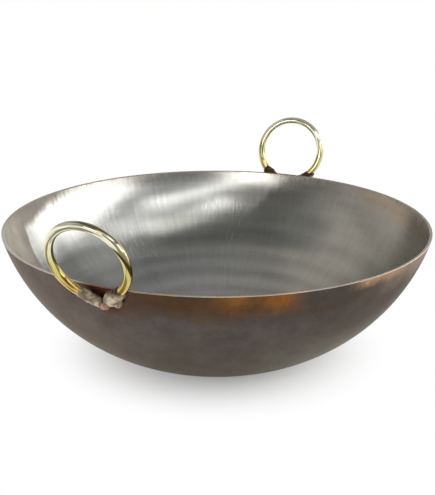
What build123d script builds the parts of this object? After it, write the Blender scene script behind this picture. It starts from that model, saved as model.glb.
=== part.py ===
from build123d import *
import os
from math import asin, cos, degrees, radians, sin, tan

# Kadai: a round steel bowl with two brass ring handles welded to the outside of its wall.
# Sizes are in millimetres and angles in degrees. The origin is the middle of the flat underside,
# +Z is up, and the handles stand at the two ends of the X axis.

# Bowl
rim_radius = 190.0          # outer edge of the rim
bowl_height = 118.3
base_radius = 45.0          # flat that the bowl stands on
wall_thickness = 2.5
knuckle_radius = 128.5      # outer face, where the base turns up into the wall
knuckle_angle = 27.7        # turned by that arc, before the flatter wall arc takes over
rim_bevel = 0.5             # the cut edge is level, with its two corners filed off

# Ring handles: a rod bent round, with two straight legs that meet in a V on the wall
rod_diameter = 7.0
ring_radius = 32.0          # centreline
ring_rise = 25.6            # ring's centre over the rim, measured up the ring's own plane
leg_slope = 34.5            # each leg off level
rod_end_gap = 1.2           # between the upper corners of the rod's two square-cut ends
rod_seat_gap = 0.3          # least space between rod and wall, which the weld metal fills
ring_twist = 4.0            # both rings are turned this much about their own upright line
ring_lean = 4.7             # and this much in their own plane, which takes the V to one side
handle_offset = 2.2         # both handles stand this much off the X axis, towards +Y

# Weld beads: lumps along the legs of each ring, and one under the point of its V
bead_start = 0.8            # from the point of the V, up the leg
long_bead_radius = 5.4
round_bead_radius = 7.4
left_bead_length = 21.0     # ends under the rim
right_bead_length = 32.0    # runs on over the rim
tip_bead_radius = 4.6
tip_bead_width = 11.0
tip_bead_drop = 2.2         # its middle below the point of the V
tip_bead_sink = 1.8         # its middle nearer to the wall than the rod's
bead_sides = 8
bead_shares = [(0.0, 0.7), (0.16, 0.9), (0.34, 1.0), (0.55, 0.9), (0.74, 0.96), (0.9, 0.74), (1.0, 0.4)]
# Each pair is a place along a bead, as a share of its length, and the share of its radius there.

rod_radius = rod_diameter / 2
knuckle_end = Vector(sin(radians(knuckle_angle)), -cos(radians(knuckle_angle)))
knuckle_centre = Vector(base_radius, knuckle_radius)


def wall_arc():
    """Centre and radius of the wall's outer arc, which leaves the knuckle smoothly and ends at the rim."""
    start = knuckle_centre + knuckle_end * knuckle_radius
    chord = Vector(rim_radius, bowl_height) - start
    radius = -chord.length**2 / (2 * chord.dot(knuckle_end))
    return start - knuckle_end * radius, radius


wall_centre, wall_radius = wall_arc()


def rim_angle(inset):
    """Where the wall's arc, moved in by inset, reaches the rim: degrees from level, seen from its centre."""
    return degrees(asin((bowl_height - wall_centre.Y) / (wall_radius - inset)))


def half_outline(inset):
    """Half of the bowl's outer line, moved in by inset: floor, knuckle and wall, in radius and height."""
    start_angle = knuckle_angle - 90
    floor = Line((0, inset), (base_radius, inset))
    knuckle = CenterArc(knuckle_centre, knuckle_radius - inset, -90, knuckle_angle)
    wall = CenterArc(wall_centre, wall_radius - inset, start_angle, rim_angle(inset) - start_angle)
    return [floor, knuckle, wall]


def bowl():
    outer = half_outline(0)
    inner = half_outline(wall_thickness)
    rim = Line(outer[-1] @ 1, inner[-1] @ 1)
    middle = Line(outer[0] @ 0, inner[0] @ 0)
    section = make_face([*outer, rim, *inner, middle])
    rim_corners = section.vertices().group_by(Axis.Y)[-1]
    section = chamfer(rim_corners, min(rim_bevel, wall_thickness / 3))
    return revolve(Plane.XZ * section, Axis.Z)


def filled_bowl():
    """The bowl as if it were solid, which cuts the weld beads to the wall."""
    outer = half_outline(0)
    top = Line(outer[-1] @ 1, (0, bowl_height))
    middle = Line((0, bowl_height), (0, 0))
    return revolve(Plane.XZ * make_face([*outer, top, middle]), Axis.Z)


# The V's point, and where a leg leaves the ring, in the ring's plane: x across, y up from the rim
v_depth = ring_radius / cos(radians(leg_slope)) - ring_rise
v_point = Vector(0, -v_depth)
leg_length = ring_radius * tan(radians(leg_slope))


def leg_direction(side):
    return Vector(side * cos(radians(leg_slope)), sin(radians(leg_slope)))


def seat_plane(azimuth):
    """Plane of a ring: it lies along the wall half-way down the V, clear of it by the rod and its gap."""
    seat_angle = radians(rim_angle(0)) - v_depth / 2 / wall_radius
    outward = Vector(cos(seat_angle), 0, sin(seat_angle))
    upward = Vector(-sin(seat_angle), 0, cos(seat_angle))
    twist_relief = rim_radius * sin(radians(ring_twist))**2 / 2
    seat = Vector(wall_centre.X, 0, wall_centre.Y) + outward * wall_radius
    origin = seat + outward * (rod_radius + rod_seat_gap + twist_relief) + upward * (v_depth / 2)
    plane = Plane(origin, x_dir=(0, 1, 0), z_dir=outward)
    middle = Location((0, ring_rise, 0))
    turns = Rotation(0, ring_twist, 0) * middle * Rotation(0, 0, ring_lean) * middle.inverse()
    return Plane(Rotation(0, 0, azimuth) * plane.location * turns)


def ring(plane):
    """Open ring: leg, arc and leg in one sweep of the rod, with both ends cut square."""
    end = (rod_end_gap / 2 + rod_radius * sin(radians(leg_slope))) / cos(radians(leg_slope))
    right_leg = Line(v_point + leg_direction(1) * end, v_point + leg_direction(1) * leg_length)
    arc = CenterArc((0, ring_rise), ring_radius, leg_slope - 90, 360 - 2 * leg_slope)
    left_leg = Line(v_point + leg_direction(-1) * leg_length, v_point + leg_direction(-1) * end)
    path = Wire([right_leg, arc, left_leg])
    section = Plane(path @ 0, z_dir=path % 0) * Circle(rod_radius)
    return plane.location * sweep(section, path=path)


def lump(length, radius):
    """Lump of weld metal along the X axis, from its low end: a ruled loft through polygons."""
    sections = [
        Plane((along_share * length, 0, 0), z_dir=(1, 0, 0)) * RegularPolygon(radius_share * radius, bead_sides)
        for along_share, radius_share in bead_shares
    ]
    return loft(sections, ruled=True)


def leg_bead(plane, side, length, radius):
    start = v_point + leg_direction(side) * bead_start
    tilt = leg_slope if side > 0 else 180 - leg_slope
    return plane.location * Location(start) * Rotation(0, 0, tilt) * lump(length, radius)


def tip_bead(plane):
    start = v_point - Vector(tip_bead_width / 2, tip_bead_drop, tip_bead_sink)
    return plane.location * Location(start) * lump(tip_bead_width, tip_bead_radius)


def largest_solid(shape):
    return shape.solids().sort_by(SortBy.VOLUME)[-1]


def handle(name, azimuth, bead_length, solid_bowl):
    """A ring and its three beads. Each bead is cut by the wall, by the rod and by the lumps before it."""
    plane = seat_plane(azimuth)
    rod = ring(plane)
    lumps = {
        f"{name}_round_weld": leg_bead(plane, 1, bead_length, round_bead_radius),
        f"{name}_long_weld": leg_bead(plane, -1, bead_length, long_bead_radius),
        f"{name}_tip_weld": tip_bead(plane),
    }
    nodes = {f"{name}_ring": rod}
    cutters = [solid_bowl, rod]
    for bead_name, whole_lump in lumps.items():
        nodes[bead_name] = largest_solid(whole_lump - cutters)
        cutters.append(whole_lump)
    return nodes


def build_nodes():
    solid_bowl = filled_bowl()
    nodes = {"bowl": bowl()}
    nodes.update(handle("left_handle", 180 - handle_offset, left_bead_length, solid_bowl))
    nodes.update(handle("right_handle", handle_offset, right_bead_length, solid_bowl))
    return nodes


os.makedirs("parts", exist_ok=True)
for node_name, node in build_nodes().items():
    export_step(node, f"parts/{node_name}.step")
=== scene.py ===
import random
from math import asin, cos, pi, radians, sin, tan

import bmesh
import bpy
import numpy as np
from mathutils import Matrix, Vector, noise


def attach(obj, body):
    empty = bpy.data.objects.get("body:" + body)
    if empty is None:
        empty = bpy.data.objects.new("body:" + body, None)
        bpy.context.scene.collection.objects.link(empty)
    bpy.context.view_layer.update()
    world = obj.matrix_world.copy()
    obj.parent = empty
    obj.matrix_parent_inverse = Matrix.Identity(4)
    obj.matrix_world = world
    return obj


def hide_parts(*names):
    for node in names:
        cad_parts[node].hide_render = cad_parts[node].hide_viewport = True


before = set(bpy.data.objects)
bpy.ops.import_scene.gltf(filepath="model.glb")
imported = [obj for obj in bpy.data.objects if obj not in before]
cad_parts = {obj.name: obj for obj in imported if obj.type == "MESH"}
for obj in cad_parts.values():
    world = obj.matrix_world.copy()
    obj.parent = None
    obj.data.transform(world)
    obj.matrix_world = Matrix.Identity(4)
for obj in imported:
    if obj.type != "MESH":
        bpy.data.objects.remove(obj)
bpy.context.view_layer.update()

# Lengths are in metres and angles in degrees. The bowl stands on z = 0, with a handle at each end of X.
MM = 0.001

# Bowl
RIM_RADIUS = 190.0 * MM
BOWL_HEIGHT = 118.3 * MM
BASE_RADIUS = 45.0 * MM
WALL_THICKNESS = 2.5 * MM
KNUCKLE_RADIUS = 128.5 * MM
KNUCKLE_ANGLE = 27.7
RIM_BEVEL = 0.5 * MM
WALL_WANDER = 0.35 * MM     # how far in the hand-worked wall may wander, at the rim
WANDER_SCALE = 9            # how fine that wander is, and how much less so up the wall
WANDER_UPRIGHT = 0.6

# Ring handles
ROD_RADIUS = 3.5 * MM
RING_RADIUS = 32.0 * MM
RING_RISE = 25.6 * MM
LEG_SLOPE = 34.5
ROD_END_GAP = 1.2 * MM
ROD_SEAT_GAP = 0.3 * MM
RING_TWIST = 4.0
RING_LEAN = 4.7
HANDLE_OFFSET = 2.2
HANDLE_AZIMUTHS = {"left": 180 - HANDLE_OFFSET, "right": HANDLE_OFFSET}
HANDLE_SEEDS = {"left": 2.0, "right": 31.0}
# The rod's dents, in shares of its radius: what it keeps without any, and how much they swing it.
ROD_SHARE = 0.985
DENT_SHARE = 0.012
DENT_SCALE = 90
# Screen colours of each rod: its metal low down, its dark streaks, which are partly painted dark
# reflections, and its paler top, a painted highlight. The right rod's colours are paler all through, a
# painted highlight.
BRASS_COLOURS = {
    "left": [(208, 196, 114), (108, 98, 42), (238, 236, 212)],
    "right": [(226, 216, 150), (150, 146, 102), (246, 244, 218)],
}

# Weld beads, laid as overlapping puddles
LONG_BEAD_START = 0.8 * MM
ROUND_BEAD_START = 5.8 * MM
LONG_BEAD_ENDS = {"left": 21.0 * MM, "right": 35.0 * MM}
ROUND_BEAD_ENDS = {"left": 24.5 * MM, "right": 27.6 * MM}
LONG_BEAD_RADII = {"left": 5.0 * MM, "right": 5.4 * MM}
ROUND_BEAD_RADII = {"left": 7.4 * MM, "right": 6.5 * MM}
TIP_BEAD_RADIUS = 3.8 * MM
TIP_BEAD_MIDDLE = Vector((3.1, 1.2, 2.2)) * MM
LIP_MIDDLE = Vector((13.4, 1.8, -0.6)) * MM     # puddle that has run down from the round bead
LIP_RADIUS = 3.9 * MM
# Each pair is a place along a bead, as a share of its length, and the share of its radius there.
ROUND_SHARES = [(0.0, 0.72), (0.16, 0.92), (0.4, 1.0), (0.74, 0.96), (0.9, 0.92), (1.0, 0.8)]
LONG_SHARES = [(0.0, 0.9), (0.2, 0.96), (0.5, 1.0), (0.8, 1.0), (1.0, 0.94)]
ROUND_BEAD_PITCH = 6.0 * MM
LONG_BEAD_PITCH = 3.0 * MM
TIP_BEAD_PITCH = 1.7 * MM
TIP_BEAD_SLOPE = 0.25
# Puddles, in shares of a bead's radius: the range of their sizes, what is left of that, and their jitter
LEG_PUDDLE_SHARES = (0.88, 1.0)
TIP_PUDDLE_SHARES = (0.8, 0.95)
PUDDLE_TRIM = 0.94
PUDDLE_JITTER = 0.08
INWARD_JITTER = 0.6         # share of that jitter toward the wall
FIRST_PUDDLE = 0.4          # the first puddle's middle, in its own radii past the bead's start
# Ripples in a bead's skin: depths, then scales, shares of that depth, and how far their middle is sunk
ROUND_BEAD_DEPTH = 0.9 * MM
LONG_BEAD_DEPTH = 0.55 * MM
TIP_BEAD_DEPTH = 0.5 * MM
COARSE_RIPPLES = 190
FINE_RIPPLES = 700
COARSE_SHARE = 0.85
FINE_SHARE = 0.15
RIPPLE_SINK = 0.3
BEAD_SEED_STEP = 3.7
WALL_BITE = 1.2 * MM        # how far a bead's metal may run into the wall
SCORCH_RISE = 4.0 * MM      # a scorch's middle above the point of the V

# Finishes: how deep the relief of each is, then the turned rings inside the bowl and the rods' streaks
GROUND_RELIEF = 0.05 * MM
SCALE_RELIEF = 0.14 * MM
FILED_RELIEF = 0.06 * MM
BRASS_RELIEF = 0.06 * MM
WELD_RELIEF = 0.14 * MM
TURNING_RATE = 370.0        # radians per metre of the bowl's radius
TURNING_START = 3.1
TURNING_WANDER = 2.0
PAINTED_REFLECTION_SLANT = -3.0     # how the straight edge of one painted dark reflection leans as the wall rises
STREAK_FINENESS = 330.0
STREAK_TURNS = 0.9

# Fineness of the meshes
FLOOR_POINTS = 8
KNUCKLE_POINTS = 16
WALL_POINTS = 34
BOWL_TURNS = 288
LEG_POINTS = 12
ARC_POINTS = 150
ROD_SIDES = 32
BEAD_VOXEL = 0.42 * MM
BOWL_SHARP_ANGLE = 12
ROD_SHARP_ANGLE = 40
FRACTAL = (0.9, 2.0, 2)     # roughness, step in scale and number of layers of dents and ripples

# Camera
CAMERA_PLACE = Vector((-774.9, -362.3, 374.6)) * MM
CAMERA_AIM = Vector((0.2, -0.5, 93.3)) * MM
CAMERA_ROLL = 0.13
FOCAL_PIXELS = 995.1
IMAGE_HEIGHT_PIXELS = 495
SENSOR_MM = 36.0

# Studio
LAMP_DISTANCE = 1.8
LAMP_AIM_HEIGHT = 0.1
# Each lamp has a name, azimuth, elevation, width, height, how bright its face looks, and tilt. 1 is white.
LAMPS = [
    ("window", 294, 22, 2.17, 0.62, 2.4, 0),
    ("window_side", 330, 11, 1.1, 0.46, 2.15, 0),
    ("long_strip", 214, 35.5, 2.7, 0.16, 2.5, 15),
    ("high_back", 229, 53, 1.7, 0.31, 2.3, 14),
    ("high_front", 268, 45, 1.5, 0.34, 1.05, 0),
    ("side_lamp", 183, 24, 1.05, 0.22, 3.3, 0),
    ("soft_left", 314, 42, 1.4, 0.7, 0.3, 0),
    ("soft_right", 104, 44, 2.2, 1.2, 0.24, 0),
]
FLOOR_REACH = 30.0
# The floor looks whiter away from the bowl: where that starts, where it is full, and the least of it.
WHITE_START = 60 * MM
WHITE_FULL = 160 * MM
WHITE_LEAST = 0.25
# Each pair is the sine of a height angle, and how bright the sky is there.
SKY_LEVELS = [(0.05, 1.0), (0.2, 0.56), (0.38, 0.30), (0.75, 0.25), (0.9, 0.29), (1.0, 0.38)]

rng = random.Random(7)


# Outline of the bowl, in radius and height

knuckle_end = Vector((sin(radians(KNUCKLE_ANGLE)), -cos(radians(KNUCKLE_ANGLE))))
knuckle_centre = Vector((BASE_RADIUS, KNUCKLE_RADIUS))


def wall_arc():
    """Centre and radius of the wall's outer arc."""
    start = knuckle_centre + knuckle_end * KNUCKLE_RADIUS
    chord = Vector((RIM_RADIUS, BOWL_HEIGHT)) - start
    radius = -chord.length_squared / (2 * chord.dot(knuckle_end))
    return start - knuckle_end * radius, radius


wall_centre, wall_radius = wall_arc()


def rim_angle(inset):
    """Where the wall's arc, moved in by inset, reaches the rim: radians from level."""
    return asin((BOWL_HEIGHT - wall_centre.y) / (wall_radius - inset))


def arc_points(centre, radius, start, end, count):
    angles = np.linspace(start, end, count)
    return [centre + radius * Vector((cos(angle), sin(angle))) for angle in angles]


def half_outline(inset):
    """The bowl's outer line moved in by inset, from the middle of the floor up to the rim."""
    turn = radians(KNUCKLE_ANGLE) - pi / 2
    floor = [Vector((share * BASE_RADIUS, inset)) for share in np.linspace(0, 1, FLOOR_POINTS)]
    knuckle = arc_points(knuckle_centre, KNUCKLE_RADIUS - inset, -pi / 2, turn, KNUCKLE_POINTS)
    wall = arc_points(wall_centre, wall_radius - inset, turn, rim_angle(inset), WALL_POINTS)
    return floor + knuckle[1:] + wall[1:]


def unevenness(point):
    """Small inward wander of the hand-worked wall: nothing at the floor, most at the rim."""
    rise = max(point.z / BOWL_HEIGHT, 0.0) ** 2
    around = Vector((point.x, point.y, WANDER_UPRIGHT * point.z)) * WANDER_SCALE
    return -WALL_WANDER * rise * (0.5 + 0.5 * noise.noise(around))


def bowl_profile():
    """Closed half section, and the row at which the rim starts."""
    outer, inner = half_outline(0), half_outline(WALL_THICKNESS)
    outer_top, inner_top = outer.pop(), inner.pop()
    rise = (outer_top - outer[-1]).normalized() * RIM_BEVEL
    across = (inner_top - outer_top).normalized() * RIM_BEVEL
    rim = [outer_top - rise, outer_top + across, inner_top - across, inner_top - rise]
    return outer + rim + inner[::-1], len(outer)


def finished_mesh(mesh, name, sharp_angle):
    """Mesh data with edges over the sharp angle kept crisp."""
    bmesh.ops.recalc_face_normals(mesh, faces=mesh.faces)
    for edge in mesh.edges:
        edge.smooth = edge.calc_face_angle(0) < radians(sharp_angle)
    data = bpy.data.meshes.new(name)
    mesh.to_mesh(data)
    mesh.free()
    return data


def bowl_mesh():
    """Turned shell. Its faces take material 0 outside, 1 on the cut rim and 2 inside."""
    profile, rim_row = bowl_profile()
    mesh = bmesh.new()
    rows = []
    for radius, height in profile:
        steps = BOWL_TURNS if radius > 0 else 1
        angles = [2 * pi * step / steps for step in range(steps)]
        row = [(radius * cos(angle), radius * sin(angle), height) for angle in angles]
        rows.append([mesh.verts.new(place) for place in row])
    for index, (low, high) in enumerate(zip(rows, rows[1:])):
        for here in range(BOWL_TURNS):
            there = (here + 1) % BOWL_TURNS
            corners = [low[here % len(low)], low[there % len(low)],
                       high[there % len(high)], high[here % len(high)]]
            face = mesh.faces.new(list(dict.fromkeys(corners)))
            face.material_index = 0 if index < rim_row else 1 if index < rim_row + 3 else 2
    for vert in mesh.verts:
        flat = Vector((vert.co.x, vert.co.y, 0))
        if flat.length > 0:
            vert.co += flat.normalized() * unevenness(vert.co)
    return finished_mesh(mesh, "bowl_shell", BOWL_SHARP_ANGLE)


# Handles, in a ring's own plane: x across, y up and z outward

v_depth = RING_RADIUS / cos(radians(LEG_SLOPE)) - RING_RISE
v_point = Vector((0, -v_depth, 0))
leg_length = RING_RADIUS * tan(radians(LEG_SLOPE))


def leg_direction(side):
    return Vector((side * cos(radians(LEG_SLOPE)), sin(radians(LEG_SLOPE)), 0))


def ring_place(azimuth):
    """Takes a ring's own plane to its seat against the wall."""
    seat_angle = rim_angle(0) - v_depth / 2 / wall_radius
    outward = Vector((cos(seat_angle), 0, sin(seat_angle)))
    upward = Vector((-sin(seat_angle), 0, cos(seat_angle)))
    relief = RIM_RADIUS * sin(radians(RING_TWIST)) ** 2 / 2
    seat = Vector((wall_centre.x, 0, wall_centre.y)) + outward * wall_radius
    origin = seat + outward * (ROD_RADIUS + ROD_SEAT_GAP + relief) + upward * (v_depth / 2)
    plane = Matrix(((0, upward.x, outward.x), (1, upward.y, outward.y), (0, upward.z, outward.z))).to_4x4()
    turned = Matrix.Rotation(radians(azimuth), 4, "Z") @ Matrix.Translation(origin) @ plane
    middle = Matrix.Translation((0, RING_RISE, 0))
    lean = middle @ Matrix.Rotation(radians(RING_LEAN), 4, "Z") @ middle.inverted()
    return turned @ Matrix.Rotation(radians(RING_TWIST), 4, "Y") @ lean


def ring_path():
    """Centreline of the rod, from one cut end to the other."""
    end = (ROD_END_GAP / 2 + ROD_RADIUS * sin(radians(LEG_SLOPE))) / cos(radians(LEG_SLOPE))
    distances = np.linspace(end, leg_length, LEG_POINTS)
    start = radians(LEG_SLOPE) - pi / 2
    angles = np.linspace(start, pi - start, ARC_POINTS)[1:-1]
    middle = Vector((0, RING_RISE, 0))
    arc = [middle + RING_RADIUS * Vector((cos(angle), sin(angle), 0)) for angle in angles]
    right_leg = [v_point + leg_direction(1) * distance for distance in distances]
    left_leg = [v_point + leg_direction(-1) * distance for distance in distances[::-1]]
    return right_leg + arc + left_leg


def ring_mesh(name, place, seed):
    """The rod, with the slight dents of a hand-bent one."""
    path = ring_path()
    mesh = bmesh.new()
    rows = []
    for index, point in enumerate(path):
        along = (path[min(index + 1, len(path) - 1)] - path[max(index - 1, 0)]).normalized()
        outward = Vector((along.y, -along.x, 0))
        row = []
        for side in range(ROD_SIDES):
            angle = 2 * pi * side / ROD_SIDES
            spoke = outward * cos(angle) + Vector((0, 0, sin(angle)))
            spot = (point + spoke * ROD_RADIUS) * DENT_SCALE + Vector((0, 0, seed))
            dent = min(noise.fractal(spot, *FRACTAL), 1.0)
            reach = ROD_RADIUS * (ROD_SHARE + DENT_SHARE * dent)
            row.append(mesh.verts.new(place @ (point + spoke * reach)))
        rows.append(row)
    for low, high in zip(rows, rows[1:]):
        for here in range(ROD_SIDES):
            there = (here + 1) % ROD_SIDES
            mesh.faces.new([low[here], low[there], high[there], high[here]])
    mesh.faces.new(rows[0][::-1])
    mesh.faces.new(rows[-1])
    return finished_mesh(mesh, name, ROD_SHARP_ANGLE)


def leg_puddles(side, start, end, radius, shares, pitch):
    """Overlapping puddles of metal, laid one after another up a leg: places and radii."""
    count = max(2, round((end - start) / pitch))
    places, sizes = zip(*shares)
    puddles = []
    for index in range(count + 1):
        share = index / count
        size = radius * np.interp(share, places, sizes) * rng.uniform(*LEG_PUDDLE_SHARES)
        distance = start + size * FIRST_PUDDLE + share * (end - start - size)
        jitter = Vector((rng.uniform(-1, 1), rng.uniform(-1, 1), rng.uniform(-INWARD_JITTER, 1)))
        middle = v_point + leg_direction(side) * distance + jitter * PUDDLE_JITTER * radius
        puddles.append((middle, size * PUDDLE_TRIM))
    return puddles


def tip_puddles():
    """Three puddles side by side under the point of the V."""
    middle = v_point + TIP_BEAD_MIDDLE
    step = Vector((TIP_BEAD_PITCH, TIP_BEAD_SLOPE * TIP_BEAD_PITCH, 0))
    sizes = [TIP_BEAD_RADIUS * rng.uniform(*TIP_PUDDLE_SHARES) for _ in range(3)]
    return [(middle + side * step, size) for side, size in zip((-1, 0, 1), sizes)]


def held_off_wall(point):
    """Moves a point that lies too deep in the wall back out to the depth that a bead may reach."""
    flat = Vector((point.x, point.y, 0))
    spot = Vector((flat.length, point.z)) - wall_centre
    least = wall_radius - WALL_BITE
    if spot.length >= least:
        return point
    spot = wall_centre + spot.normalized() * least
    return flat.normalized() * spot.x + Vector((0, 0, spot.y))


def skin_round(puddles):
    """One closed mesh round overlapping balls."""
    balls = bmesh.new()
    for middle, radius in puddles:
        bmesh.ops.create_icosphere(balls, subdivisions=3, radius=radius, matrix=Matrix.Translation(middle))
    data = bpy.data.meshes.new("puddles")
    balls.to_mesh(data)
    balls.free()
    holder = bpy.data.objects.new("puddles", data)
    bpy.context.collection.objects.link(holder)
    remesh = holder.modifiers.new("skin", "REMESH")
    remesh.mode = "VOXEL"
    remesh.voxel_size = BEAD_VOXEL
    holder.modifiers.new("smooth", "SMOOTH").iterations = 2
    smoothed = holder.evaluated_get(bpy.context.evaluated_depsgraph_get())
    skin = bpy.data.meshes.new_from_object(smoothed)
    bpy.data.objects.remove(holder)
    bpy.data.meshes.remove(data)
    return skin


def bead_mesh(name, puddles, place, seed, depth):
    """A weld bead, with ripples and pits in its skin and its back run into the wall."""
    skin = skin_round(puddles)
    offset = Vector((seed, 0, 0))
    moved = []
    for vert in skin.vertices:
        coarse = noise.fractal(vert.co * COARSE_RIPPLES + offset, *FRACTAL)
        fine = noise.noise(vert.co * FINE_RIPPLES + offset)
        swell = depth * (COARSE_SHARE * coarse + FINE_SHARE * fine - RIPPLE_SINK)
        moved.append(held_off_wall(place @ (vert.co + vert.normal * swell)))
    for vert, spot in zip(skin.vertices, moved):
        vert.co = spot
    skin.name = name
    skin.update()
    return skin


# Materials

def srgb(red, green, blue):
    """A colour as a screen shows it, 0 to 255, in linear light."""
    def linear(level):
        share = level / 255
        return share / 12.92 if share <= 0.04045 else ((share + 0.055) / 1.055) ** 2.4
    return (linear(red), linear(green), linear(blue), 1.0)


class Shader:
    """Adds nodes to one material."""

    def __init__(self, name):
        self.material = bpy.data.materials.new(name)
        self.material.use_nodes = True
        self.tree = self.material.node_tree
        self.tree.nodes.clear()
        self.surface = self.tree.nodes.new("ShaderNodeBsdfPrincipled")
        self.output = self.tree.nodes.new("ShaderNodeOutputMaterial")
        self.feed(self.output.inputs["Surface"], self.surface.outputs[0])
        self.place = self.tree.nodes.new("ShaderNodeTexCoord").outputs["Object"]

    def feed(self, socket, value):
        if isinstance(value, bpy.types.NodeSocket):
            self.tree.links.new(value, socket)
        else:
            socket.default_value = value

    def node(self, kind, inputs, **settings):
        node = self.tree.nodes.new(kind)
        for key, value in settings.items():
            setattr(node, key, value)
        for key, value in inputs:
            self.feed(node.inputs[key], value)
        return node

    def math(self, operation, *values):
        return self.node("ShaderNodeMath", enumerate(values), operation=operation).outputs[0]

    def vector(self, operation, *values, output="Vector"):
        return self.node("ShaderNodeVectorMath", enumerate(values), operation=operation).outputs[output]

    def split(self, vector):
        return self.node("ShaderNodeSeparateXYZ", [(0, vector)]).outputs

    def combined(self, *levels):
        return self.node("ShaderNodeCombineXYZ", enumerate(levels)).outputs[0]

    def length(self, vector):
        return self.vector("LENGTH", vector, output="Value")

    def scaled(self, vector, level):
        inputs = [(0, vector), ("Scale", level)]
        return self.node("ShaderNodeVectorMath", inputs, operation="SCALE").outputs[0]

    def product(self, *values):
        total = values[0]
        for value in values[1:]:
            total = self.math("MULTIPLY", total, value)
        return total

    def plus(self, level, value, weight):
        """Level, plus value times weight."""
        return self.math("MULTIPLY_ADD", value, weight, level)

    def around(self, middle, swings):
        """A level: middle, plus each noise's swing about its own middle times its weight."""
        level = middle
        for noise_level, weight in swings:
            level = self.plus(self.math("SUBTRACT", level, weight / 2), noise_level, weight)
        return level

    def step(self, value, low, high):
        """0 at low, 1 at high and smooth between. With low over high it falls instead."""
        inputs = [("Value", value), ("From Min", low), ("From Max", high)]
        return self.node("ShaderNodeMapRange", inputs, interpolation_type="SMOOTHSTEP").outputs["Result"]

    def between(self, value, start, full, fading, end):
        """Rises from 0 at start to 1 at full, and falls from 1 at fading to 0 at end."""
        return self.product(self.step(value, start, full), self.step(value, end, fading))

    def mix(self, share, first, second):
        inputs = [(0, share), (6, first), (7, second)]
        return self.node("ShaderNodeMix", inputs, data_type="RGBA").outputs[2]

    def layered(self, colour, layers):
        """Lays layers over a colour. Each has a share from 0 to 1, its weight and a screen colour."""
        for share, weight, tint in layers:
            colour = self.mix(self.product(share, weight), colour, srgb(*tint))
        return colour

    def noise(self, vector, scale, detail=3.0, roughness=0.55):
        inputs = [("Vector", vector), ("Scale", scale), ("Detail", detail), ("Roughness", roughness)]
        return self.node("ShaderNodeTexNoise", inputs).outputs[0]

    def streaks(self, across, along, turns, scale, detail=3.0):
        """Noise drawn out one way. Turns and scale say how fine it is across and along."""
        line = self.combined(0.0, 0.0, self.math("MULTIPLY", along, scale))
        return self.noise(self.vector("ADD", self.scaled(across, turns), line), 1.0, detail, 0.65)

    def near(self, spots, inner, outer):
        """1 within inner of any of the spots, falling to 0 at outer."""
        distances = [self.vector("DISTANCE", self.place, tuple(spot), output="Value") for spot in spots]
        nearest = distances[0]
        for distance in distances[1:]:
            nearest = self.math("MINIMUM", nearest, distance)
        return self.step(nearest, outer, inner)

    def bump(self, height, distance):
        return self.node("ShaderNodeBump", [("Height", height), ("Distance", distance)]).outputs[0]

    def finish(self, sockets):
        for name, value in sockets.items():
            self.feed(self.surface.inputs[name], value)
        return self.material


class BowlShader(Shader):
    """Shader that also has a point's radius, height and level direction, round the bowl's axis."""

    def __init__(self, name):
        super().__init__(name)
        flat = self.vector("MULTIPLY", self.place, (1, 1, 0))
        self.radius = self.length(flat)
        self.height = self.split(self.place)["Z"]
        self.direction = self.vector("NORMALIZE", flat)

    def nearness(self, azimuth):
        """Cosine of the angle between a point's direction and an azimuth."""
        aim = (cos(radians(azimuth)), sin(radians(azimuth)), 0)
        return self.vector("DOT_PRODUCT", self.direction, aim, output="Value")

    def toward(self, azimuth, spread, full=0.0):
        """1 within full degrees of an azimuth, falling smoothly to 0 at spread degrees to either side."""
        return self.step(self.nearness(azimuth), cos(radians(spread)), cos(radians(full)))


ring_places = {side: ring_place(azimuth) for side, azimuth in HANDLE_AZIMUTHS.items()}
v_spots = [place @ v_point for place in ring_places.values()]
scorch_middle = v_point + Vector((0, SCORCH_RISE, -ROD_RADIUS))
scorch_spots = [place @ scorch_middle for place in ring_places.values()]


def tick_marks(steel, run):
    """Short marks of the grinder, in a few patches of the wall."""
    ticks = steel.step(steel.streaks(steel.direction, run, turns=88.0, scale=70.0, detail=1.0), 0.5, 0.68)
    patches = steel.step(steel.noise(steel.place, scale=13.0, detail=2.0), 0.46, 0.62)
    upper = steel.step(steel.radius, 136 * MM, 150 * MM)
    return steel.product(ticks, patches, steel.toward(46, spread=40), upper)


def turning_rings(steel, bands):
    """Faint, slightly uneven rings round the floor and the lower wall."""
    phase = steel.plus(TURNING_START, bands, TURNING_WANDER)
    waves = steel.math("SINE", steel.plus(phase, steel.radius, TURNING_RATE))
    return steel.product(waves, steel.step(steel.radius, 170 * MM, 155 * MM))


def inside_colour(steel, blotches, wander):
    """Bare steel with lighter, darker and warmer patches, and painted dark reflections in two places, under
    the dull band.
    """
    radius = steel.radius
    middle = steel.between(radius, 105 * MM, 130 * MM, 150 * MM, 175 * MM)
    deep = steel.step(steel.plus(radius, blotches, 30 * MM), 135 * MM, 105 * MM)
    rust = steel.product(steel.step(wander, 106 * MM, 124 * MM), steel.toward(312, spread=30))
    # Painted dark reflections toward azimuths 4 and 18: one with a straight slanting edge, one in a band
    # high on the wall.
    slant = steel.plus(steel.nearness(330), wander, PAINTED_REFLECTION_SLANT)
    painted_reflection_right = steel.product(steel.step(slant, 0.448, 0.488), steel.toward(4, spread=28),
                               steel.step(wander, 70 * MM, 90 * MM))
    painted_reflection_back = steel.product(steel.between(radius, 140 * MM, 152 * MM, 166 * MM, 176 * MM),
                              steel.toward(18, spread=42, full=18))
    warm = steel.toward(310, spread=85)
    edge = steel.step(wander, 118 * MM, 126 * MM)
    return steel.layered(steel.mix(blotches, srgb(178, 179, 175), srgb(196, 196, 192)), [
        (middle, 0.7, (156, 157, 153)),
        (deep, 0.8, (192, 185, 184)),
        (warm, 0.7, (190, 183, 168)),
        (edge, 0.45, (152, 144, 132)),
        (rust, 0.5, (164, 134, 108)),
        (painted_reflection_right, 0.8, (128, 128, 120)),
        (painted_reflection_back, 1.0, (134, 135, 129)),
    ])


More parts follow.
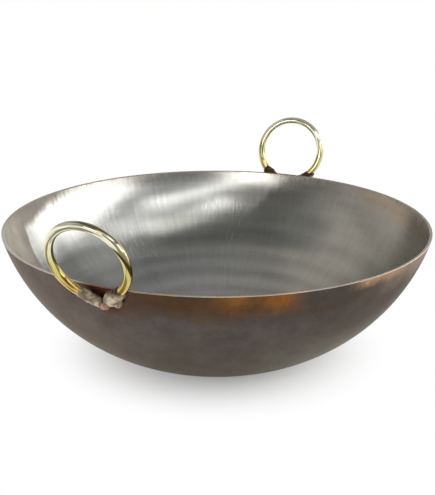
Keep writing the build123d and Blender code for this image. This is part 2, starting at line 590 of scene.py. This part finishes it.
def bowl_inside():
    """Steel ground up and down the wall, with rings, tick marks, patches, painted dark reflections and a
    dull band at the rim.
    """
    steel = BowlShader("bowl_inside")
    run = steel.math("ADD", steel.radius, steel.height)
    grind = steel.streaks(steel.direction, run, turns=100.0, scale=12.0, detail=1.0)
    rubs = steel.streaks(steel.direction, run, turns=34.0, scale=26.0, detail=1.0)
    bands = steel.streaks(steel.direction, run, turns=1.6, scale=62.0)
    blotches = steel.noise(steel.place, scale=15.0, detail=1.0)
    mottle = steel.noise(steel.place, scale=48.0, detail=4.0, roughness=0.6)
    wander = steel.plus(steel.plus(steel.height, blotches, 16 * MM), rubs, 12 * MM)
    lift = steel.plus(wander, steel.toward(122, spread=48), 16 * MM)
    lift = steel.plus(lift, steel.toward(140, spread=36, full=25), 60 * MM)
    dull = steel.step(lift, 127 * MM, 137 * MM)
    dull_colour = steel.mix(steel.toward(86, spread=32, full=4), srgb(156, 150, 138), srgb(116, 110, 103))
    colour = steel.mix(dull, inside_colour(steel, blotches, wander), dull_colour)
    level = steel.around(1.0, [(grind, 0.2), (rubs, 0.16), (bands, 0.35)])
    level = steel.plus(level, turning_rings(steel, bands), 0.08)
    level = steel.plus(level, tick_marks(steel, run), 0.5)
    level = steel.plus(level, dull, steel.math("SUBTRACT", mottle, 0.5))
    tangent = steel.node("ShaderNodeTangent", [], direction_type="RADIAL", axis="Z").outputs[0]
    return steel.finish({
        "Base Color": steel.scaled(colour, level), "Metallic": 1.0,
        "Roughness": steel.plus(steel.around(0.23, [(bands, 0.12), (blotches, 0.12)]), dull, 0.2),
        "Anisotropic": 0.6, "Tangent": tangent,
        "Normal": steel.bump(steel.around(0.5, [(grind, 0.2), (rubs, 0.8)]), GROUND_RELIEF),
    })


def outside_colour(steel, smears, blotches):
    """Dark scale, with heat tints in a band under the rim, a scorch round each handle's welds, and a
    painted reflection that lightens the left side and the low wall.
    """
    wander = steel.plus(steel.height, smears, 20 * MM)
    low = steel.step(wander, 95 * MM, 40 * MM)
    band = steel.step(wander, 98 * MM, 120 * MM)
    hottest = steel.product(steel.step(wander, 106 * MM, 124 * MM), steel.toward(220, spread=18, full=4),
                            steel.step(blotches, 0.25, 0.55))
    thin = steel.product(steel.step(wander, 118 * MM, 128 * MM), steel.toward(247, spread=23, full=9))
    tawny = steel.product(steel.step(wander, 100 * MM, 126 * MM), steel.toward(275, spread=32))
    halo = steel.product(steel.near(scorch_spots, inner=14 * MM, outer=46 * MM),
                         steel.step(blotches, 0.3, 0.6))
    colour = steel.layered(steel.mix(blotches, srgb(76, 70, 66), srgb(94, 88, 84)), [
        # Painted reflection: lighter on the left side, and the low wall lighter to the left and the right.
        (steel.toward(142, spread=54), 1.0, (112, 103, 99)),
        (low, 1.0, (86, 82, 77)),
        (steel.product(low, steel.toward(146, spread=40)), 1.0, (116, 107, 101)),
        (steel.product(low, steel.toward(268, spread=62)), 1.0, (117, 118, 110)),
        (steel.product(band, steel.toward(204, spread=48)), 1.0, (79, 59, 41)),
        (hottest, 1.0, (148, 95, 42)),
        (thin, 1.0, (178, 144, 112)),
        (tawny, 0.9, (160, 145, 130)),
        (steel.product(band, steel.toward(231, spread=12, full=2)), 1.0, (72, 65, 61)),
        (halo, 0.7, (82, 63, 55)),
    ])
    scorch = steel.mix(smears, srgb(58, 38, 34), srgb(104, 62, 46))
    return steel.mix(steel.near(scorch_spots, inner=8 * MM, outer=22 * MM), colour, scorch)


def bowl_outside():
    """Scaled steel with smears, specks and a few scratches."""
    steel = BowlShader("bowl_outside")
    run = steel.math("ADD", steel.radius, steel.height)
    drawn = steel.streaks(steel.direction, run, turns=3.0, scale=260.0)
    smears = steel.streaks(steel.direction, run, turns=9.0, scale=16.0, detail=4.0)
    blotches = steel.noise(steel.place, scale=17.0, detail=5.0, roughness=0.6)
    mottle = steel.noise(steel.place, scale=62.0, detail=4.0, roughness=0.6)
    grit = steel.noise(steel.place, scale=420.0, detail=2.0)
    specks = steel.step(steel.noise(steel.place, scale=700.0, detail=1.0), 0.69, 0.74)
    lines = steel.streaks(steel.place, run, turns=30.0, scale=900.0)
    scratches = steel.product(steel.step(lines, 0.7, 0.78),
                              steel.step(steel.noise(steel.place, scale=21.0), 0.5, 0.62))
    colour = steel.layered(outside_colour(steel, smears, blotches), [
        (specks, 0.6, (44, 40, 38)),
        (scratches, 0.3, (170, 162, 155)),
    ])
    level = steel.around(1.0, [(drawn, 0.24), (smears, 0.6), (mottle, 0.75), (grit, 0.25)])
    height_map = steel.around(0.5, [(grit, 0.6), (drawn, 0.5), (blotches, 0.8)])
    return steel.finish({
        "Base Color": steel.scaled(colour, level), "Metallic": 0.85,
        "Roughness": steel.around(0.42, [(blotches, 0.22), (smears, 0.16), (grit, 0.1)]),
        "Specular Tint": srgb(206, 196, 184), "Normal": steel.bump(height_map, SCALE_RELIEF),
    })


def rim_edge():
    """Bare cut edge, filed along its run, with a painted highlight on its left part, and burnt between the
    legs of each handle.
    """
    steel = BowlShader("rim_edge")
    filed = steel.streaks(steel.direction, steel.radius, turns=60.0, scale=500.0)
    patches = steel.noise(steel.place, scale=35.0, detail=4.0)
    colour = steel.layered(steel.mix(patches, srgb(150, 139, 124), srgb(205, 195, 178)), [
        # Painted highlight: the rim is paler toward azimuth 146.
        (steel.toward(146, spread=36), 1.0, (226, 218, 204)),
        (steel.near(v_spots, inner=15 * MM, outer=30 * MM), 1.0, (138, 92, 68)),
    ])
    return steel.finish({
        "Base Color": steel.scaled(colour, steel.around(1.0, [(filed, 0.4)])), "Metallic": 0.4,
        "Roughness": steel.around(0.36, [(filed, 0.2)]), "Normal": steel.bump(filed, FILED_RELIEF),
    })


def painted_shade_line(rod, reach, turn, outward):
    """Painted shade: a dark line that slants across one side of a ring's outer face. Turn is in radians
    from the top.
    """
    middle = rod.plus(RING_RADIUS - 6.6 * MM, turn, 5.6 * MM)
    offset = rod.math("ABSOLUTE", rod.math("SUBTRACT", reach, middle))
    ends = rod.between(turn, 0.9, 1.15, 1.8, 2.0)
    return rod.product(rod.step(offset, 1.4 * MM, 0.6 * MM), ends, rod.step(outward, -0.6 * MM, 0.2 * MM))


def brass(side, light, dark, pale):
    """Bent brass rod, with streaks drawn along it that are partly painted dark reflections, a painted
    highlight along its top, a painted shade line on each side, and warmer and duller where the welding
    heated it.
    """
    rod = Shader(f"{side}_brass")
    to_ring = ring_places[side].inverted()
    inputs = [("Vector", rod.place), ("Location", to_ring.translation), ("Rotation", to_ring.to_euler())]
    local = rod.node("ShaderNodeMapping", inputs).outputs[0]
    across, up, outward = rod.split(rod.vector("SUBTRACT", local, (0, RING_RISE, 0)))
    reach = rod.length(rod.combined(across, up))
    turn = rod.math("ARCTAN2", across, up)
    line = rod.combined(rod.product(reach, STREAK_FINENESS), rod.product(outward, STREAK_FINENESS),
                        rod.product(turn, STREAK_TURNS))
    # Dark streaks along the rod: partly streaks of the drawn rod, partly painted dark reflections.
    bands = rod.step(rod.noise(line, scale=1.0, detail=2.0), 0.5, 0.6)
    fine = rod.noise(line, scale=3.5, detail=1.0)
    patches = rod.noise(rod.place, scale=55.0, detail=4.0)
    hot = rod.near(v_spots, inner=27 * MM, outer=42 * MM)
    # Painted highlight: the rod's colour is paler toward its top.
    top_highlight_colour = rod.mix(rod.step(up, -12 * MM, 24 * MM), srgb(*light), srgb(*pale))
    cool_colour = rod.mix(rod.product(bands, 0.85), top_highlight_colour, srgb(*dark))
    hot_colour = rod.mix(bands, srgb(224, 184, 106), srgb(122, 88, 44))
    colour = rod.layered(rod.mix(rod.product(hot, 0.8), cool_colour, hot_colour), [
        # Painted shade line on each side of the ring.
        (painted_shade_line(rod, reach, turn, outward), 0.95, (52, 42, 12)),
        (rod.near(v_spots, inner=5 * MM, outer=9 * MM), 1.0, (70, 52, 40)),
    ])
    level = rod.around(1.0, [(fine, 0.3), (patches, 0.25)])
    return rod.finish({
        "Base Color": rod.scaled(colour, level), "Metallic": 1.0,
        "Roughness": rod.plus(rod.around(0.09, [(patches, 0.06), (fine, 0.05)]), hot, 0.12),
        "Normal": rod.bump(rod.around(0.5, [(fine, 0.3), (patches, 0.7)]), BRASS_RELIEF),
    })


def weld(name, light, dark, burnt):
    """Weld metal, with a painted highlight on its ripples' crests and painted shade between them, and burnt
    in the hollows and where it rises over the rim.
    """
    metal = BowlShader(name)
    ripples = metal.noise(metal.place, scale=170.0, detail=1.5)
    grit = metal.noise(metal.place, scale=900.0, detail=2.0)
    hollows = metal.step(metal.noise(metal.place, scale=130.0, detail=1.5), 0.48, 0.68)
    lift = metal.plus(metal.height, ripples, 6 * MM)
    over_rim = metal.step(lift, BOWL_HEIGHT + 0.2 * MM, BOWL_HEIGHT + 3.2 * MM)
    # Painted highlight and shade: lighter where the ripples that also make the bump are high, darker where
    # they are low.
    colour = metal.layered(metal.mix(metal.step(ripples, 0.35, 0.65), srgb(*dark), srgb(*light)), [
        (hollows, 0.7, burnt),
        (over_rim, 1.0, (74, 56, 42)),
    ])
    return metal.finish({
        "Base Color": metal.scaled(colour, metal.around(1.0, [(grit, 0.3)])), "Metallic": 0.7,
        "Roughness": metal.around(0.4, [(ripples, 0.3), (grit, 0.1)]),
        "Normal": metal.bump(metal.around(0.5, [(grit, 0.3), (ripples, 0.7)]), WELD_RELIEF),
    })


# Pieces

def new_piece(name, mesh, materials, node):
    piece = bpy.data.objects.new(name, mesh)
    bpy.context.collection.objects.link(piece)
    for material in materials:
        mesh.materials.append(material)
    for face in mesh.polygons:
        face.use_smooth = True
    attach(piece, "root")
    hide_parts(node)


def make_handle(side, weld_finish, copper_finish):
    """A ring and its three beads, each a piece of its own."""
    place = ring_places[side]
    seed = HANDLE_SEEDS[side]
    brass_finish = brass(side, *BRASS_COLOURS[side])
    rod = ring_mesh(f"{side}_rod", place, seed)
    new_piece(f"{side}_ring", rod, [brass_finish], f"{side}_handle_ring")
    round_puddles = leg_puddles(1, ROUND_BEAD_START, ROUND_BEAD_ENDS[side], ROUND_BEAD_RADII[side],
                                ROUND_SHARES, ROUND_BEAD_PITCH)
    long_puddles = leg_puddles(-1, LONG_BEAD_START, LONG_BEAD_ENDS[side], LONG_BEAD_RADII[side],
                               LONG_SHARES, LONG_BEAD_PITCH)
    round_puddles.append((v_point + LIP_MIDDLE, LIP_RADIUS))
    beads = [
        ("round_weld", round_puddles, ROUND_BEAD_DEPTH, weld_finish, "weld_metal"),
        ("long_weld", long_puddles, LONG_BEAD_DEPTH, weld_finish, "weld_metal"),
        ("tip_weld", tip_puddles(), TIP_BEAD_DEPTH, copper_finish, "weld_copper"),
    ]
    for index, (bead, puddles, depth, finish, slot) in enumerate(beads):
        mesh = bead_mesh(f"{side}_{bead}_skin", puddles, place, seed + BEAD_SEED_STEP * index, depth)
        new_piece(f"{side}_{bead}_bead", mesh, [finish], f"{side}_handle_{bead}")


new_piece("bowl_shell", bowl_mesh(), [bowl_outside(), rim_edge(), bowl_inside()], "bowl")
# Each weld's light and dark colours are a painted highlight and painted shade on its ripples.
weld_metal = weld("weld_metal", (212, 196, 168), (140, 125, 101), (72, 58, 47))
weld_copper = weld("weld_copper", (192, 152, 132), (138, 102, 86), (70, 50, 44))
make_handle("left", weld_metal, weld_copper)
make_handle("right", weld_metal, weld_copper)


# Floor, lamps, world and camera

def make_floor():
    """Pale floor: it takes the bowl's shadow, and looks plain white farther out."""
    data = bpy.data.meshes.new("floor")
    corners = [(x * FLOOR_REACH, y * FLOOR_REACH, 0) for x, y in ((-1, -1), (1, -1), (1, 1), (-1, 1))]
    data.from_pydata(corners, [], [(0, 1, 2, 3)])
    floor = bpy.data.objects.new("floor", data)
    bpy.context.collection.objects.link(floor)
    pale = Shader("floor")
    roughness = pale.around(0.8, [(pale.noise(pale.place, scale=30.0), 0.1)])
    data.materials.append(pale.finish({"Base Color": srgb(242, 241, 239), "Roughness": roughness}))
    ray = pale.tree.nodes.new("ShaderNodeLightPath").outputs
    bounced = pale.math("MAXIMUM", ray["Is Glossy Ray"], ray["Is Transmission Ray"])
    seen = pale.math("MAXIMUM", ray["Is Camera Ray"], bounced)
    farther = pale.step(pale.length(pale.place), WHITE_START, WHITE_FULL)
    white_share = pale.product(seen, pale.plus(WHITE_LEAST, farther, 1 - WHITE_LEAST))
    white = pale.node("ShaderNodeEmission", [("Color", (1, 1, 1, 1)), ("Strength", 1.0)])
    layers = [(0, white_share), (1, pale.surface.outputs[0]), (2, white.outputs[0])]
    pale.feed(pale.output.inputs["Surface"], pale.node("ShaderNodeMixShader", layers).outputs[0])


def make_lamp(name, azimuth, elevation, width, height, strength, tilt):
    """Soft lamp aimed at the bowl, and turned by its tilt in its own plane."""
    data = bpy.data.lights.new(name, "AREA")
    data.shape = "RECTANGLE"
    data.size = width
    data.size_y = height
    data.energy = strength * pi * width * height
    lamp = bpy.data.objects.new(name, data)
    bpy.context.collection.objects.link(lamp)
    level = cos(radians(elevation))
    away = Vector((cos(radians(azimuth)) * level, sin(radians(azimuth)) * level, sin(radians(elevation))))
    lamp.location = away * LAMP_DISTANCE + Vector((0, 0, LAMP_AIM_HEIGHT))
    facing = away.to_track_quat("Z", "Y").to_matrix()
    lamp.rotation_euler = (facing @ Matrix.Rotation(radians(tilt), 3, "Z")).to_euler()


def make_world():
    """White round the horizon, and greyer overhead."""
    world = bpy.data.worlds.new("studio")
    bpy.context.scene.world = world
    world.use_nodes = True
    tree = world.node_tree
    tree.nodes.clear()
    place = tree.nodes.new("ShaderNodeTexCoord")
    split = tree.nodes.new("ShaderNodeSeparateXYZ")
    ramp = tree.nodes.new("ShaderNodeValToRGB")
    background = tree.nodes.new("ShaderNodeBackground")
    output = tree.nodes.new("ShaderNodeOutputWorld")
    stops = ramp.color_ramp.elements
    while len(stops) < len(SKY_LEVELS):
        stops.new(1.0)
    for stop, (rise, level) in zip(stops, SKY_LEVELS):
        stop.position = rise
        stop.color = (level, level, level, 1)
    tree.links.new(place.outputs["Generated"], split.inputs[0])
    tree.links.new(split.outputs["Z"], ramp.inputs[0])
    tree.links.new(ramp.outputs[0], background.inputs["Color"])
    tree.links.new(background.outputs[0], output.inputs["Surface"])


def make_camera():
    data = bpy.data.cameras.new("camera")
    data.sensor_width = SENSOR_MM
    data.lens = FOCAL_PIXELS * SENSOR_MM / IMAGE_HEIGHT_PIXELS
    camera = bpy.data.objects.new("camera", data)
    bpy.context.collection.objects.link(camera)
    back = (CAMERA_PLACE - CAMERA_AIM).normalized()
    right = Vector((0, 0, 1)).cross(back).normalized()
    up = back.cross(right)
    right, up = (right * cos(radians(CAMERA_ROLL)) + up * sin(radians(CAMERA_ROLL)),
                 up * cos(radians(CAMERA_ROLL)) - right * sin(radians(CAMERA_ROLL)))
    camera.matrix_world = Matrix.Translation(CAMERA_PLACE) @ Matrix((right, up, back)).transposed().to_4x4()
    bpy.context.scene.camera = camera


make_floor()
make_world()
for lamp_row in LAMPS:
    make_lamp(*lamp_row)
make_camera()
bpy.context.scene.view_settings.view_transform = "Standard"
